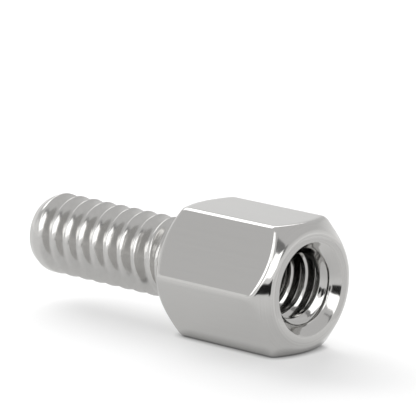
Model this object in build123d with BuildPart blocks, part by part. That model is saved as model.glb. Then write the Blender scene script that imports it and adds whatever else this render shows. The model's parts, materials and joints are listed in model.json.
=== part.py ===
from build123d import *
from math import atan, cos, degrees, floor, radians, tan
import os

# A male-female hex standoff turned from one length of hexagonal bar. It lies on a flat with its axis
# along X: the shoulder that the stud stands on is at the origin, the tapped mouth faces +X.
# Lengths are in millimetres, angles in degrees.

# Hexagonal body, with both ends turned to a cone
ACROSS_FLATS = 5.5
BODY_LENGTH = 6.35
END_FACE_DIAMETER = 4.8
END_CHAMFER_ANGLE = 40.0
EDGE_RADIUS = 0.32
TURNED_EDGE_SHARE = 0.6
FACE_EDGE_RADIUS = 0.24

# Stud with a right-hand coarse thread, 32 turns to the inch
STUD_DIAMETER = 3.45
STUD_LENGTH = 8.3
STUD_TIP_DIAMETER = 3.04
STUD_TIP_LENGTH = 0.42
STUD_TIP_ROUNDING = 0.14
STUD_COLLAR_LENGTH = 0.8
THREAD_PITCH = 0.794
THREAD_DEPTH = 0.487
THREAD_CREST_WIDTH = 0.1
FLANK_ANGLE = 30.0
RUNOUT_TURN_SHARE = 0.5
THREAD_PHASE_SHARE = 0.66

# Blind hole, drilled to the core of the same thread, with a countersunk mouth
HOLE_DIAMETER = 2.75
HOLE_DEPTH = 5.0
DRILL_POINT_ANGLE = 118.0
COUNTERSINK_DIAMETER = 3.94
COUNTERSINK_ANGLE = 90.0

# How far a cut reaches past the surface that it opens
OVERRUN = 0.15

HALF_TURN = 180.0

END_FACE_RADIUS = END_FACE_DIAMETER / 2
STUD_RADIUS = STUD_DIAMETER / 2
STUD_TIP_RADIUS = STUD_TIP_DIAMETER / 2
HOLE_RADIUS = HOLE_DIAMETER / 2
COUNTERSINK_RADIUS = COUNTERSINK_DIAMETER / 2


def wound_groove(start, length, rise_angle):
    """The groove between the thread's turns, wound along +X from start and rising out of the stud at an angle.

    Its flanks run straight on through the stud's surface until half of the crest is left between two turns.
    On a cone the helix counts its pitch along the slope, so the slope's length is what one turn advances.
    """
    slope_pitch = THREAD_PITCH / cos(radians(rise_angle))
    flank_slope = tan(radians(FLANK_ANGLE))
    half_mouth = (THREAD_PITCH - THREAD_CREST_WIDTH) / 2
    half_root = half_mouth - THREAD_DEPTH * flank_slope
    half_outside = half_mouth + THREAD_CREST_WIDTH / 4
    root_radius = STUD_RADIUS - THREAD_DEPTH
    outside_radius = STUD_RADIUS + THREAD_CREST_WIDTH / 4 / flank_slope
    with BuildPart() as groove:
        with BuildLine() as winding:
            Helix(slope_pitch, length, STUD_RADIUS, (start, 0, 0), (1, 0, 0), rise_angle)
        with BuildSketch(Plane.XZ) as section:
            with BuildLine():
                Polyline(
                    (start - half_outside, outside_radius),
                    (start - half_root, root_radius),
                    (start + half_root, root_radius),
                    (start + half_outside, outside_radius),
                    close=True,
                )
            make_face()
        sweep(section.sketch, winding.line, is_frenet=True)
    return groove.part


# The groove fades in behind the cone of the stud's tip, and near the shoulder it rises out of the metal again
# and leaves a plain collar. Half a turn about a vertical axis makes the way out into the way in.
groove_start = (THREAD_PHASE_SHARE - floor(STUD_LENGTH / THREAD_PITCH)) * THREAD_PITCH
full_turns = floor((-STUD_COLLAR_LENGTH - groove_start) / THREAD_PITCH)
groove_length = full_turns * THREAD_PITCH
runout_length = RUNOUT_TURN_SHARE * THREAD_PITCH
runout_angle = degrees(atan(THREAD_DEPTH / runout_length))
full_groove = wound_groove(groove_start, groove_length, 0)
runout_groove = wound_groove(0, runout_length, runout_angle)

with BuildPart() as standoff:
    # Hexagonal bar, its long edges rounded, lying on one flat
    with BuildSketch(Plane.YZ) as bar:
        hexagon = RegularPolygon(ACROSS_FLATS / 2, side_count=6, major_radius=False)
        fillet(bar.vertices(), EDGE_RADIUS)
    extrude(amount=BODY_LENGTH)

    # Both ends turned: a flat face inside a cone that cuts an arc on each flat, its edges rounded
    chamfer_run = (hexagon.radius - END_FACE_RADIUS) * tan(radians(END_CHAMFER_ANGLE))
    with BuildSketch(Plane.XY) as turned:
        with BuildLine():
            Polyline(
                (0, 0),
                (0, END_FACE_RADIUS),
                (chamfer_run, hexagon.radius),
                (BODY_LENGTH - chamfer_run, hexagon.radius),
                (BODY_LENGTH, END_FACE_RADIUS),
                (BODY_LENGTH, 0),
                close=True,
            )
        make_face()
        fillet(turned.vertices().group_by(Axis.Y)[1], FACE_EDGE_RADIUS)
    revolve(axis=Axis.X, mode=Mode.INTERSECT)
    curved_edges = standoff.edges().filter_by(GeomType.LINE, reverse=True)
    arcs_on_flats = curved_edges.filter_by(GeomType.CIRCLE, reverse=True)
    fillet(arcs_on_flats, TURNED_EDGE_SHARE * EDGE_RADIUS)

    # Stud: a rod on the shoulder with a cone and a rounded edge at its tip, then its thread
    with BuildSketch(Plane.XY) as rod:
        with BuildLine():
            Polyline(
                (0, 0),
                (0, STUD_RADIUS),
                (STUD_TIP_LENGTH - STUD_LENGTH, STUD_RADIUS),
                (-STUD_LENGTH, STUD_TIP_RADIUS),
                (-STUD_LENGTH, 0),
                close=True,
            )
        make_face()
        fillet(rod.vertices().group_by(Axis.X)[0].sort_by(Axis.Y)[-1], STUD_TIP_ROUNDING)
    revolve(axis=Axis.X)
    add(full_groove, mode=Mode.SUBTRACT)
    with Locations((groove_start + groove_length, 0, 0), Location((groove_start, 0, 0), (0, 0, HALF_TURN))):
        add(runout_groove, mode=Mode.SUBTRACT)

    # Hole: the drill's point, the bore and the countersink, turned in one cut
    hole_floor = BODY_LENGTH - HOLE_DEPTH
    drill_point = HOLE_RADIUS / tan(radians(DRILL_POINT_ANGLE / 2))
    sink_slope = tan(radians(COUNTERSINK_ANGLE / 2))
    sink_depth = (COUNTERSINK_RADIUS - HOLE_RADIUS) / sink_slope
    with BuildSketch(Plane.XZ):
        with BuildLine():
            Polyline(
                (hole_floor - drill_point, 0),
                (hole_floor, HOLE_RADIUS),
                (BODY_LENGTH - sink_depth, HOLE_RADIUS),
                (BODY_LENGTH + OVERRUN, COUNTERSINK_RADIUS + OVERRUN * sink_slope),
                (BODY_LENGTH + OVERRUN, 0),
                close=True,
            )
        make_face()
    revolve(axis=Axis.X, mode=Mode.SUBTRACT)

standoff.part.label = "standoff"
os.makedirs("parts", exist_ok=True)
export_step(standoff.part, "parts/standoff.step")
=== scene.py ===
import json
from math import atan2, ceil, cos, floor, hypot, pi, radians, sin, sqrt, tan, tau

import bmesh
import bpy
from mathutils import Matrix, Vector


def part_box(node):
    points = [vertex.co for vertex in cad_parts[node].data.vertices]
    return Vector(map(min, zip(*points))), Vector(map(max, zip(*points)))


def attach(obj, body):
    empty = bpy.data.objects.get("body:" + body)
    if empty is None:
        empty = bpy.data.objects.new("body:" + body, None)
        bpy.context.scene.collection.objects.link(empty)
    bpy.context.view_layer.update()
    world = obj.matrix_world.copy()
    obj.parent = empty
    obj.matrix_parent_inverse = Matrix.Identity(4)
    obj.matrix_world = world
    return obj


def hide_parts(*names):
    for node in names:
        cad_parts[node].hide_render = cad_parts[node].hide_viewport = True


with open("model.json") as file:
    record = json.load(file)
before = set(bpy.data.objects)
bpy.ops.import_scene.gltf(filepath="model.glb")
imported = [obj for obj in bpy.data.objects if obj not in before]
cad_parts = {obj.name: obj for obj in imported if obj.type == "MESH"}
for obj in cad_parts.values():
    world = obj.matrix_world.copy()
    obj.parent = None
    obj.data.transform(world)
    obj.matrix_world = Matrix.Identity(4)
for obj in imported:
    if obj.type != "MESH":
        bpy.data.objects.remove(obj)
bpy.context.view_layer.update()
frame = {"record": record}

# A male-female hex standoff of polished steel, lying on a flat of its hexagon with its axis along X.
# The stud points to -X and the tapped mouth to +X. The mesh is shaped in millimetres and becomes metres
# in one last step.

MM = 0.001

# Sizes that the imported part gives
lowest, highest = (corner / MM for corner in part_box("standoff"))
mount_sizes = {mount["name"]: mount["dims"] for mount in frame["record"]["mounts"]}
BODY_LENGTH = highest.x
STUD_LENGTH = -lowest.x
APOTHEM = highest.z
STUD_RADIUS = mount_sizes["stud"]["r_mm"]
HOLE_RADIUS = mount_sizes["tapped_hole"]["r_mm"]

# Hexagonal body with turned ends
FLATS = 6
FLAT_TURN = tau / FLATS
LONG_EDGE_ROUNDING = 0.32
END_FACE_RADIUS = 2.4
END_CHAMFER_ANGLE = radians(40)
BAR_EDGE_ROUNDING = 0.34
FACE_EDGE_ROUNDING = 0.45
SHOULDER_ROUNDING = 0.06
SHOULDER_COLLAR = 0.1

# Right-hand coarse thread
THREAD_PITCH = 0.794
FLANK_ANGLE = radians(30)
RUNOUT_TURNS = 0.5

# Stud: its rolled thread, the plain collar at its shoulder and the cone at its tip
STUD_DEPTH = 0.487
STUD_GROOVE_SHARPNESS = 1.5
STUD_COLLAR = 0.8
STUD_PHASE = 0.66
STUD_TIP_RADIUS = 1.52
STUD_TIP_LENGTH = 0.42
STUD_TIP_ROUNDING = 0.084
STUD_TIP_CENTRE = 0.38
TIP_SLOPE = (STUD_RADIUS - STUD_TIP_RADIUS) / STUD_TIP_LENGTH
RUNOUT_BLEND = 0.05
RUNOUT_BLEND_SHARE = 0.25

# Hole: its inner thread, the countersunk mouth with its lead-in, and the drill's point
TAP_DEPTH = 0.385
TAP_CREST = 0.23
TAP_ROUNDING = 0.05
TAP_START = 2.15
HOLE_DEPTH = 5.0
DRILL_POINT_ANGLE = radians(118)
SINK_RADIUS = 1.97
SINK_ROUNDING = 0.05
SINK_LIP = 0.08
SINK_BLEND = 0.04
LEAD_IN_RADIUS = 1.62
LEAD_IN_SLOPE = tan(radians(30))
MOUTH_FADE = 0.75

# How finely the shapes are divided
STEPS_PER_FLAT = 48
FLAT_SHARE = 0.6
STEPS_PER_TURN = 132
STEPS_PER_GROOVE = 24
CORNER_SEGMENTS = 5
LONGEST_RUN = 0.14

# Where the sheets of the skin are cut off, and the gaps over which they are joined
SPARE_TURNS = 3
TIP_JOINT = 0.14
SEAM = 0.06
WELD = 0.0001
CUT_WELD = 0.00001

# A face of the bar leans less than this towards the axis, and a face of an end cone leans more
BAR_LEAN = 0.5


def clamp(value, least=0.0, most=1.0):
    return max(least, min(most, value))


def soft_least(a, b, blend):
    """The lesser of two radii, with the corner between them rounded off over the blend."""
    near = max(blend - abs(a - b), 0)
    return min(a, b) - (near * near / (4 * blend) if blend else 0)


def outline(points):
    """A chain of edges through points (x, radius, rounding) on the part's +Z side.

    A corner with a rounding becomes an arc of that radius, and long straight runs are cut into short edges.
    """
    bm = bmesh.new()
    chain = [bm.verts.new((x, 0, radius)) for x, radius, rounding in points]
    for start, end in zip(chain, chain[1:]):
        bm.edges.new((start, end))
    places = [vert.co.copy() for vert in chain]
    for i in range(1, len(points) - 1):
        turn = (places[i] - places[i - 1]).angle(places[i + 1] - places[i])
        setback = points[i][2] * tan(turn / 2)
        if setback:
            bmesh.ops.bevel(
                bm, geom=[chain[i]], offset=setback, offset_type="OFFSET", segments=CORNER_SEGMENTS,
                profile=0.5, affect="VERTICES", material=-1,
            )
    for edge in bm.edges[:]:
        cuts = ceil(edge.calc_length() / LONGEST_RUN) - 1
        if cuts:
            bmesh.ops.subdivide_edges(bm, edges=[edge], cuts=cuts)
    return bm


def turn_round(bm, steps):
    """Turns an outline once round the axis, like work on a lathe."""
    bmesh.ops.spin(
        bm, geom=bm.verts[:] + bm.edges[:], cent=(0, 0, 0), axis=(1, 0, 0), angle=tau, steps=steps,
        use_merge=True,
    )


def open_rings(bm, place, reach):
    """The open edges of a sheet that lie within reach of a place along the axis."""
    return [edge for edge in bm.edges if edge.is_boundary and abs(edge.verts[0].co.x - place) < reach]


def flat_edge_angle():
    """The angle from the middle of a flat to the line where its rounded long edge starts."""
    return atan2((APOTHEM - LONG_EDGE_ROUNDING) * tan(FLAT_TURN / 2), APOTHEM)


def flat_distance(angle):
    """How far the bar's surface is from the axis, at an angle from the middle of a flat."""
    corner = FLAT_TURN / 2
    centre = (APOTHEM - LONG_EDGE_ROUNDING) / cos(corner)
    angle = abs(angle)
    if angle <= flat_edge_angle():
        return APOTHEM / cos(angle)
    off = corner - angle
    return centre * cos(off) + sqrt(LONG_EDGE_ROUNDING**2 - (centre * sin(off)) ** 2)


BAR_RADIUS = flat_distance(FLAT_TURN / 2)
CONE_SLOPE = tan(END_CHAMFER_ANGLE)
CONE_RUN = (BAR_RADIUS - END_FACE_RADIUS) * CONE_SLOPE


def mill_flats(bm):
    """Presses the turned bar's sides in to six flats with rounded long edges; the end cones stay true."""
    middle = BODY_LENGTH / 2
    bar_turn = pi / 2 - END_CHAMFER_ANGLE
    bar_setback = BAR_EDGE_ROUNDING * tan(bar_turn / 2)
    face_setback = FACE_EDGE_ROUNDING * tan(END_CHAMFER_ANGLE / 2)
    cone_foot = END_FACE_RADIUS + face_setback * cos(END_CHAMFER_ANGLE)
    cone_top = BAR_RADIUS - bar_setback * cos(END_CHAMFER_ANGLE)
    half_flat = middle - CONE_RUN - bar_setback
    edge_angle = flat_edge_angle()
    for vert in bm.verts:
        x, y, z = vert.co
        radius = hypot(y, z)
        share = clamp((radius - cone_foot) / (cone_top - cone_foot))
        turn = atan2(-y, z)
        flat = round(turn / FLAT_TURN)
        across = (turn - flat * FLAT_TURN) / (FLAT_TURN / 2)
        if abs(across) <= FLAT_SHARE:
            milled = abs(across) / FLAT_SHARE * edge_angle
        else:
            past = (abs(across) - FLAT_SHARE) / (1 - FLAT_SHARE)
            milled = edge_angle + past * (FLAT_TURN / 2 - edge_angle)
        milled = milled if across > 0 else -milled
        turn += share * (flat * FLAT_TURN + milled - turn)
        drop = share * (BAR_RADIUS - flat_distance(milled))
        radius -= drop
        along = clamp((x - middle) / half_flat, -1)
        vert.co = (x + along * drop * CONE_SLOPE, -radius * sin(turn), radius * cos(turn))


def turned_bar():
    """Shoulder, both cones, the bar between them, the mouth's face and the lip of its countersink."""
    bm = outline([
        (-SHOULDER_COLLAR, STUD_RADIUS, 0),
        (0, STUD_RADIUS, SHOULDER_ROUNDING),
        (0, END_FACE_RADIUS, FACE_EDGE_ROUNDING),
        (CONE_RUN, BAR_RADIUS, BAR_EDGE_ROUNDING),
        (BODY_LENGTH - CONE_RUN, BAR_RADIUS, BAR_EDGE_ROUNDING),
        (BODY_LENGTH, END_FACE_RADIUS, FACE_EDGE_ROUNDING),
        (BODY_LENGTH, SINK_RADIUS, SINK_ROUNDING),
        (BODY_LENGTH - SINK_LIP, SINK_RADIUS - SINK_LIP, 0),
    ])
    turn_round(bm, FLATS * STEPS_PER_FLAT)
    mill_flats(bm)
    return bm


def rolled_groove(middle):
    """One groove of the stud as the dies press it: a smooth wave, the narrower the sharper it is."""
    points = []
    for step in range(STEPS_PER_GROOVE):
        share = step / STEPS_PER_GROOVE - 0.5
        depth = STUD_DEPTH * cos(pi * share) ** STUD_GROOVE_SHARPNESS
        points.append((middle + share * THREAD_PITCH, STUD_RADIUS - depth, 0))
    return points


def tapped_groove(middle):
    """One groove of the hole, with straight flanks and flat crests."""
    half_mouth = (THREAD_PITCH - TAP_CREST) / 2
    half_root = half_mouth - TAP_DEPTH * tan(FLANK_ANGLE)
    return [
        (middle - half_mouth, HOLE_RADIUS, TAP_ROUNDING),
        (middle - half_root, HOLE_RADIUS + TAP_DEPTH, TAP_ROUNDING),
        (middle + half_root, HOLE_RADIUS + TAP_DEPTH, TAP_ROUNDING),
        (middle + half_mouth, HOLE_RADIUS, TAP_ROUNDING),
    ]


def wound_thread(groove_points, first_groove, turns):
    """A sheet of thread, wound right-hand along +X, with spare turns at both ends to be cut off."""
    points = []
    for groove in range(-SPARE_TURNS, turns + SPARE_TURNS):
        points += groove_points(first_groove + groove * THREAD_PITCH)
    bm = outline(points)
    bmesh.ops.spin(
        bm, geom=bm.verts[:] + bm.edges[:], cent=(0, 0, 0), axis=(1, 0, 0), angle=tau,
        dvec=(THREAD_PITCH / STEPS_PER_TURN, 0, 0), steps=STEPS_PER_TURN,
    )
    bmesh.ops.remove_doubles(bm, verts=bm.verts, dist=WELD)
    return bm


def turns_along_groove(co, first_groove):
    """How many turns along the groove a point of the thread lies, counted from the first groove's start."""
    turn = atan2(-co.y, co.z) % tau / tau
    return round((co.x - first_groove) / THREAD_PITCH - turn) + turn


def keep_between(bm, start, end):
    """Cuts a sheet off square at two places along the axis."""
    for place, outwards in ((start, -1), (end, 1)):
        bmesh.ops.bisect_plane(
            bm, geom=bm.verts[:] + bm.edges[:] + bm.faces[:], dist=CUT_WELD, plane_co=(place, 0, 0),
            plane_no=(outwards, 0, 0), clear_outer=True,
        )


def set_radius(vert, radius):
    """Moves a point of a sheet straight out from the axis, or in to it."""
    scale = radius / hypot(vert.co.y, vert.co.z)
    vert.co.y *= scale
    vert.co.z *= scale


def threaded_stud():
    """The stud's thread, which starts behind the cone of the tip and runs out before the shoulder."""
    first_groove = (STUD_PHASE - floor(STUD_LENGTH / THREAD_PITCH)) * THREAD_PITCH
    full_turns = floor((-STUD_COLLAR - first_groove) / THREAD_PITCH)
    bm = wound_thread(rolled_groove, first_groove, full_turns)
    for vert in bm.verts:
        turns = turns_along_groove(vert.co, first_groove)
        rise = clamp(max(turns - full_turns, -turns) / RUNOUT_TURNS)
        radius = hypot(vert.co.y, vert.co.z) + rise * STUD_DEPTH
        radius = soft_least(radius, STUD_RADIUS, RUNOUT_BLEND * clamp(rise / RUNOUT_BLEND_SHARE))
        tip_radius = STUD_TIP_RADIUS + (vert.co.x + STUD_LENGTH) * TIP_SLOPE
        set_radius(vert, soft_least(radius, tip_radius, RUNOUT_BLEND))
    keep_between(bm, TIP_JOINT - STUD_LENGTH, -SHOULDER_COLLAR - SEAM)
    return bm


def stud_tip():
    """The end of the stud: the last of its cone, a rounded edge and the flat face."""
    start = TIP_JOINT - SEAM
    bm = outline([
        (start - STUD_LENGTH, STUD_TIP_RADIUS + start * TIP_SLOPE, 0),
        (-STUD_LENGTH, STUD_TIP_RADIUS, STUD_TIP_ROUNDING),
        (-STUD_LENGTH, STUD_TIP_CENTRE, 0),
    ])
    turn_round(bm, STEPS_PER_TURN)
    bmesh.ops.edgeloop_fill(bm, edges=open_rings(bm, -STUD_LENGTH, WELD))
    return bm


def tapped_hole():
    """The hole's inner thread, which fades into the lead-in and countersink, down to the drill's point."""
    hole_floor = BODY_LENGTH - HOLE_DEPTH
    bm = wound_thread(tapped_groove, TAP_START, ceil((BODY_LENGTH - TAP_START) / THREAD_PITCH))
    for vert in bm.verts:
        turns = turns_along_groove(vert.co, TAP_START)
        rise = clamp(-turns / RUNOUT_TURNS)
        depth = BODY_LENGTH - vert.co.x
        cut = hypot(vert.co.y, vert.co.z) - HOLE_RADIUS - rise * TAP_DEPTH
        radius = HOLE_RADIUS + max(0, cut) * clamp(depth / MOUTH_FADE)
        lead_in = LEAD_IN_RADIUS - (depth - SINK_RADIUS + LEAD_IN_RADIUS) * LEAD_IN_SLOPE
        mouth = -soft_least(depth - SINK_RADIUS, -lead_in, SINK_BLEND)
        set_radius(vert, -soft_least(-radius, -mouth, SINK_BLEND))
    keep_between(bm, hole_floor, BODY_LENGTH - SINK_LIP - SEAM)
    point = hole_floor - HOLE_RADIUS / tan(DRILL_POINT_ANGLE / 2)
    walls = bmesh.ops.extrude_edge_only(bm, edges=open_rings(bm, hole_floor, WELD))["geom"]
    tips = [item for item in walls if isinstance(item, bmesh.types.BMVert)]
    bmesh.ops.pointmerge(bm, verts=tips, merge_co=(point, 0, 0))
    return bm


def standoff_piece(drawn_bar, turned_steel, rolled_steel):
    """The whole standoff as one closed skin."""
    bm = bmesh.new()
    for make in (turned_bar, threaded_stud, stud_tip, tapped_hole):
        section = make()
        mesh = bpy.data.meshes.new("section")
        section.to_mesh(mesh)
        section.free()
        bm.from_mesh(mesh)
        bpy.data.meshes.remove(mesh)
    for joint in (TIP_JOINT - STUD_LENGTH, -SHOULDER_COLLAR, BODY_LENGTH - SINK_LIP):
        bmesh.ops.bridge_loops(bm, edges=open_rings(bm, joint, 2 * SEAM))
    bmesh.ops.recalc_face_normals(bm, faces=bm.faces)
    steels = (drawn_bar, turned_steel, rolled_steel)
    for face in bm.faces:
        centre = face.calc_center_median()
        radius = hypot(centre.y, centre.z)
        if radius > END_FACE_RADIUS and abs(face.normal.x) < BAR_LEAN:
            steel = drawn_bar
        elif centre.x < 0 and radius < STUD_RADIUS + WELD:
            steel = rolled_steel
        else:
            steel = turned_steel
        face.material_index = steels.index(steel)
        face.smooth = True
    bmesh.ops.scale(bm, vec=(MM, MM, MM), verts=bm.verts)
    mesh = bpy.data.meshes.new("standoff_body")
    bm.to_mesh(mesh)
    bm.free()
    for steel in steels:
        mesh.materials.append(steel)
    piece = bpy.data.objects.new("standoff_body", mesh)
    bpy.context.scene.collection.objects.link(piece)
    return piece


# Numbers of a Mix node's colour sockets, because its other sockets have the same names
MIX_FIRST = 6
MIX_SECOND = 7
MIX_RESULT = 2


def colour(hex_code):
    """An sRGB hex colour as linear RGBA."""
    channels = [int(hex_code[i:i + 2], 16) / 255 for i in (1, 3, 5)]
    return [c / 12.92 if c <= 0.04045 else ((c + 0.055) / 1.055) ** 2.4 for c in channels] + [1]


def add_node(tree, kind, sockets=None, **settings):
    """Adds a node. sockets maps an input's name or number to a value or to another node's output."""
    node = tree.nodes.new(kind)
    for name, value in settings.items():
        setattr(node, name, value)
    for name, value in (sockets or {}).items():
        if isinstance(value, bpy.types.NodeSocket):
            tree.links.new(value, node.inputs[name])
        else:
            node.inputs[name].default_value = value
    return node


def polished_steel(name, dull, bright, roughness, marks):
    """A polished steel. Its marks, from 0 to 1, run from a dull and rough to a bright and smooth spot."""
    material = bpy.data.materials.new(name)
    material.use_nodes = True
    tree = material.node_tree
    shader = tree.nodes["Principled BSDF"]
    shader.inputs["Metallic"].default_value = 1
    mark = marks(tree, add_node(tree, "ShaderNodeTexCoord").outputs["Object"])
    tint = add_node(tree, "ShaderNodeMix", {
        "Factor": mark, MIX_FIRST: colour(dull), MIX_SECOND: colour(bright),
    }, data_type="RGBA")
    rough = add_node(tree, "ShaderNodeMapRange", {
        "Value": mark, "To Min": roughness[0], "To Max": roughness[1],
    })
    tree.links.new(tint.outputs[MIX_RESULT], shader.inputs["Base Color"])
    tree.links.new(rough.outputs[0], shader.inputs["Roughness"])
    return material


# Marks on a millimetre: real ones are finer, and these are as coarse as they need to be to show
DRAW_MARKS_ALONG = 0.15
DRAW_MARKS_ACROSS = 9
TURNING_MARKS = 14
ROLLING_MOTTLE = 5


def draw_marks(tree, place):
    """Fine lines along the bar, as the drawing die leaves them."""
    scale = (DRAW_MARKS_ALONG / MM, DRAW_MARKS_ACROSS / MM, DRAW_MARKS_ACROSS / MM)
    stretched = add_node(tree, "ShaderNodeVectorMath", {0: place, 1: scale}, operation="MULTIPLY")
    return add_node(tree, "ShaderNodeTexNoise", {"Vector": stretched.outputs[0], "Scale": 1}).outputs[0]


def turning_marks(tree, place):
    """Fine rings round the axis, as the lathe tool leaves them on faces, cones and bores alike."""
    across = add_node(tree, "ShaderNodeVectorMath", {0: place, 1: (0, 1, 1)}, operation="MULTIPLY")
    radius = add_node(tree, "ShaderNodeVectorMath", {0: across.outputs[0]}, operation="LENGTH")
    along = add_node(tree, "ShaderNodeSeparateXYZ", {0: place})
    feed = add_node(tree, "ShaderNodeMath", {
        0: radius.outputs["Value"], 1: along.outputs["X"],
    }, operation="SUBTRACT")
    rings = add_node(tree, "ShaderNodeTexNoise", {
        "W": feed.outputs[0], "Scale": TURNING_MARKS / MM,
    }, noise_dimensions="1D")
    return rings.outputs[0]


def rolling_mottle(tree, place):
    """The soft, slightly uneven burnish of a thread pressed between rolling dies."""
    return add_node(tree, "ShaderNodeTexNoise", {"Vector": place, "Scale": ROLLING_MOTTLE / MM}).outputs[0]


# Drawn and polished: even grey flats whose reflections are drawn out a little along the bar
drawn_bar = polished_steel("drawn_and_polished_steel", "#C9C8C6", "#CDCCCA", (0.12, 0.09), draw_marks)
# Turned and polished: the sharpest reflections of the part, with a faint grain of rings
turned_steel = polished_steel("turned_and_polished_steel", "#C4C3C1", "#D1D0CE", (0.14, 0.06), turning_marks)
# Rolled thread: softer reflections that run together in the grooves
rolled_steel = polished_steel("rolled_thread_steel", "#C6C5C3", "#CFCECC", (0.18, 0.12), rolling_mottle)

standoff = standoff_piece(drawn_bar, turned_steel, rolled_steel)
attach(standoff, "root")
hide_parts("standoff")

# Stage, in metres: a white floor, a grey tent all round, and cards that only the polished steel mirrors
FLOOR_RADIUS = 2.0
FLOOR_SIDES = 64
FLOOR_PAPER = "#B4B4B4"
FLOOR_PAPER_MIRRORED = "#838383"
FLOOR_GLOW = 0.45
FLOOR_GLOW_MIRRORED = 0.54
# How near the part, and below how much open sky, the floor's glow is dimmed: a painted contact shadow
CONTACT_REACH = 0.0005
CONTACT_SKY = 0.7
TENT_LEVEL = 0.69
TENT_FOOT = 1.03
TENT_SHOULDER = sin(radians(27))
CARD_DISTANCE = 0.5
CARD_STEPS = 16
FLAG_RIGHT_DISTANCE = 0.009
FLAG_LEFT_DISTANCE = 0.0075
SIDE_CARD_DISTANCE = 0.005
FLAG_LEVEL = 0.01


def stage_object(name, bm, material):
    """Makes a mesh a part of the stage."""
    mesh = bpy.data.meshes.new(name)
    bm.to_mesh(mesh)
    bm.free()
    mesh.materials.append(material)
    piece = bpy.data.objects.new(name, mesh)
    bpy.context.scene.collection.objects.link(piece)
    return piece


def white_paper():
    """Matt paper with a glow that makes it plain white. Ambient occlusion dims the glow where the part lies
    on it: a painted contact shadow.

    The steel mirrors it greyer than the camera sees it, the painted contact shadow included.
    """
    material = bpy.data.materials.new("white_paper")
    material.use_nodes = True
    tree = material.node_tree
    shader = tree.nodes["Principled BSDF"]
    shader.inputs["Roughness"].default_value = 1
    shader.inputs["Specular IOR Level"].default_value = 0
    shader.inputs["Emission Color"].default_value = (1, 1, 1, 1)
    rays = add_node(tree, "ShaderNodeLightPath")
    shade = add_node(tree, "ShaderNodeMix", {
        "Factor": rays.outputs["Is Glossy Ray"],
        MIX_FIRST: colour(FLOOR_PAPER),
        MIX_SECOND: colour(FLOOR_PAPER_MIRRORED),
    }, data_type="RGBA")
    # Painted contact shadow: ambient occlusion dims the glow, both for the camera and in the steel's
    # reflections
    open_sky = add_node(tree, "ShaderNodeAmbientOcclusion", {"Distance": CONTACT_REACH})
    painted_contact_shadow = add_node(tree, "ShaderNodeMapRange", {"Value": open_sky.outputs["AO"], "From Max": CONTACT_SKY})
    seen = add_node(tree, "ShaderNodeMath", {
        0: rays.outputs["Is Camera Ray"], 1: FLOOR_GLOW,
    }, operation="MULTIPLY")
    mirrored = add_node(tree, "ShaderNodeMath", {
        0: rays.outputs["Is Glossy Ray"], 1: FLOOR_GLOW_MIRRORED, 2: seen.outputs[0],
    }, operation="MULTIPLY_ADD")
    glow = add_node(tree, "ShaderNodeMath", {
        0: mirrored.outputs[0], 1: painted_contact_shadow.outputs[0],
    }, operation="MULTIPLY")
    tree.links.new(shade.outputs[MIX_RESULT], shader.inputs["Base Color"])
    tree.links.new(glow.outputs[0], shader.inputs["Emission Strength"])
    return material


def reflected_card(name, azimuths, elevations, level, distance=CARD_DISTANCE):
    """A card round the mouth that only reflections see, between two azimuths and elevations in degrees."""
    bm = bmesh.new()
    ends = []
    for elevation in elevations:
        rise = radians(elevation)
        ends.append(bm.verts.new((distance * cos(rise), 0, distance * sin(rise))))
    bm.edges.new(ends)
    bmesh.ops.rotate(bm, verts=bm.verts, matrix=Matrix.Rotation(radians(azimuths[0]), 3, "Z"))
    bmesh.ops.spin(
        bm, geom=bm.verts[:] + bm.edges[:], cent=(0, 0, 0), axis=(0, 0, 1), steps=CARD_STEPS,
        angle=radians(azimuths[1] - azimuths[0]),
    )
    bmesh.ops.translate(bm, vec=(BODY_LENGTH * MM, 0, 0), verts=bm.verts)
    material = bpy.data.materials.new(name)
    material.use_nodes = True
    tree = material.node_tree
    tree.nodes.clear()
    glow = add_node(tree, "ShaderNodeEmission", {"Strength": level})
    add_node(tree, "ShaderNodeOutputMaterial", {"Surface": glow.outputs["Emission"]})
    card = stage_object(name, bm, material)
    card.visible_camera = False
    card.visible_diffuse = False
    card.visible_shadow = False


def grey_tent():
    """A tent that is white at its foot, grey from its shoulder up and plain white to the camera."""
    world = bpy.data.worlds.new("grey_tent")
    world.use_nodes = True
    tree = world.node_tree
    background = tree.nodes["Background"]
    background.inputs["Color"].default_value = (1, 1, 1, 1)
    rays = add_node(tree, "ShaderNodeLightPath")
    direction = add_node(tree, "ShaderNodeTexCoord")
    height = add_node(tree, "ShaderNodeSeparateXYZ", {0: direction.outputs["Generated"]})
    wall = add_node(tree, "ShaderNodeMapRange", {
        "Value": height.outputs["Z"], "From Max": TENT_SHOULDER, "To Min": TENT_FOOT, "To Max": TENT_LEVEL,
    })
    level = add_node(tree, "ShaderNodeMapRange", {
        "Value": rays.outputs["Is Camera Ray"], "To Min": wall.outputs[0],
    })
    tree.links.new(level.outputs[0], background.inputs["Strength"])
    return world


floor_sheet = bmesh.new()
bmesh.ops.create_circle(floor_sheet, cap_ends=True, segments=FLOOR_SIDES, radius=FLOOR_RADIUS)
bmesh.ops.translate(floor_sheet, vec=(0, 0, lowest.z * MM), verts=floor_sheet.verts)
stage_object("floor", floor_sheet, white_paper())

# Bright cards give the white bars on the steel, and dark ones the deep tones beside them
reflected_card("softbox_key", (118, 190), (33, 58), level=2.4)
reflected_card("softbox_front_left", (-93, -66), (22, 57), level=2.3)
reflected_card("softbox_front", (-60, -46), (38, 60), level=2.0)
reflected_card("softbox_front_right", (-50, 3), (10.5, 36), level=2.2)
reflected_card("front_card", (-152, -128), (-1, 26), level=0.97)
reflected_card("dark_card_above", (-14, 6), (36, 46), level=0.22)
reflected_card("dark_card_right", (4, 14), (16, 38), level=0.28)
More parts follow.
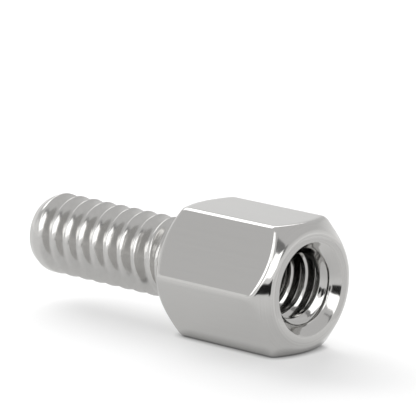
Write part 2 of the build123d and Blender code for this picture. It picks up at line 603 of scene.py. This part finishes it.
# These stand close to the mouth, where the body hides them from the stud
reflected_card("flag_right", (-39, -20), (-8.6, 8), level=FLAG_LEVEL, distance=FLAG_RIGHT_DISTANCE)
reflected_card("flag_left", (-57, -42), (-5.5, 7.5), level=FLAG_LEVEL, distance=FLAG_LEFT_DISTANCE)
reflected_card("side_card", (15, 75), (-28, 12), level=0.78, distance=SIDE_CARD_DISTANCE)

bpy.context.scene.world = grey_tent()

# The softbox behind the part, more on the stud's side, that gives the floor its shadow
LAMP_AZIMUTH = radians(151)
LAMP_RISE = radians(31)
LAMP_DISTANCE = 0.5
LAMP_WIDTH = 0.65
LAMP_HEIGHT = 0.3
LAMP_POWER = 4.8
lamp_data = bpy.data.lights.new("softbox_lamp", "AREA")
lamp_data.shape = "RECTANGLE"
lamp_data.size = LAMP_WIDTH
lamp_data.size_y = LAMP_HEIGHT
lamp_data.energy = LAMP_POWER
lamp = bpy.data.objects.new("softbox_lamp", lamp_data)
bpy.context.scene.collection.objects.link(lamp)
lamp.location = LAMP_DISTANCE * Vector((
    cos(LAMP_AZIMUTH) * cos(LAMP_RISE), sin(LAMP_AZIMUTH) * cos(LAMP_RISE), sin(LAMP_RISE),
))
lamp.rotation_euler = lamp.location.to_track_quat("Z", "Y").to_euler()
lamp.visible_glossy = False
lamp.visible_camera = False

# Camera at the photograph's viewing angle, its place in millimetres
IMAGE_WIDTH = 416
FOCAL_PIXELS = 4000
SENSOR = 36
VIEW_AZIMUTH = radians(41.9455)
VIEW_ELEVATION = radians(12.56)
VIEW_ROLL = radians(1.0943)
VIEW_ACROSS = -0.498
VIEW_UP = 2.308
VIEW_DISTANCE = 167.43
NEAREST_SEEN = 1.0
back = Vector((
    sin(VIEW_AZIMUTH) * cos(VIEW_ELEVATION), -cos(VIEW_AZIMUTH) * cos(VIEW_ELEVATION), sin(VIEW_ELEVATION),
))
right = Vector((cos(VIEW_AZIMUTH), sin(VIEW_AZIMUTH), 0))
up = back.cross(right)
camera_x = cos(VIEW_ROLL) * right + sin(VIEW_ROLL) * up
camera_y = cos(VIEW_ROLL) * up - sin(VIEW_ROLL) * right
viewpoint = (VIEW_DISTANCE * back - VIEW_ACROSS * camera_x + VIEW_UP * camera_y) * MM
camera_data = bpy.data.cameras.new("camera")
camera_data.sensor_width = SENSOR
camera_data.lens = FOCAL_PIXELS / IMAGE_WIDTH * SENSOR
camera_data.clip_start = NEAREST_SEEN * MM
camera = bpy.data.objects.new("camera", camera_data)
bpy.context.scene.collection.objects.link(camera)
camera_axes = Matrix((camera_x, camera_y, back)).transposed()
camera.matrix_world = Matrix.Translation(viewpoint) @ camera_axes.to_4x4()
bpy.context.scene.camera = camera

bpy.context.scene.view_settings.view_transform = "Standard"
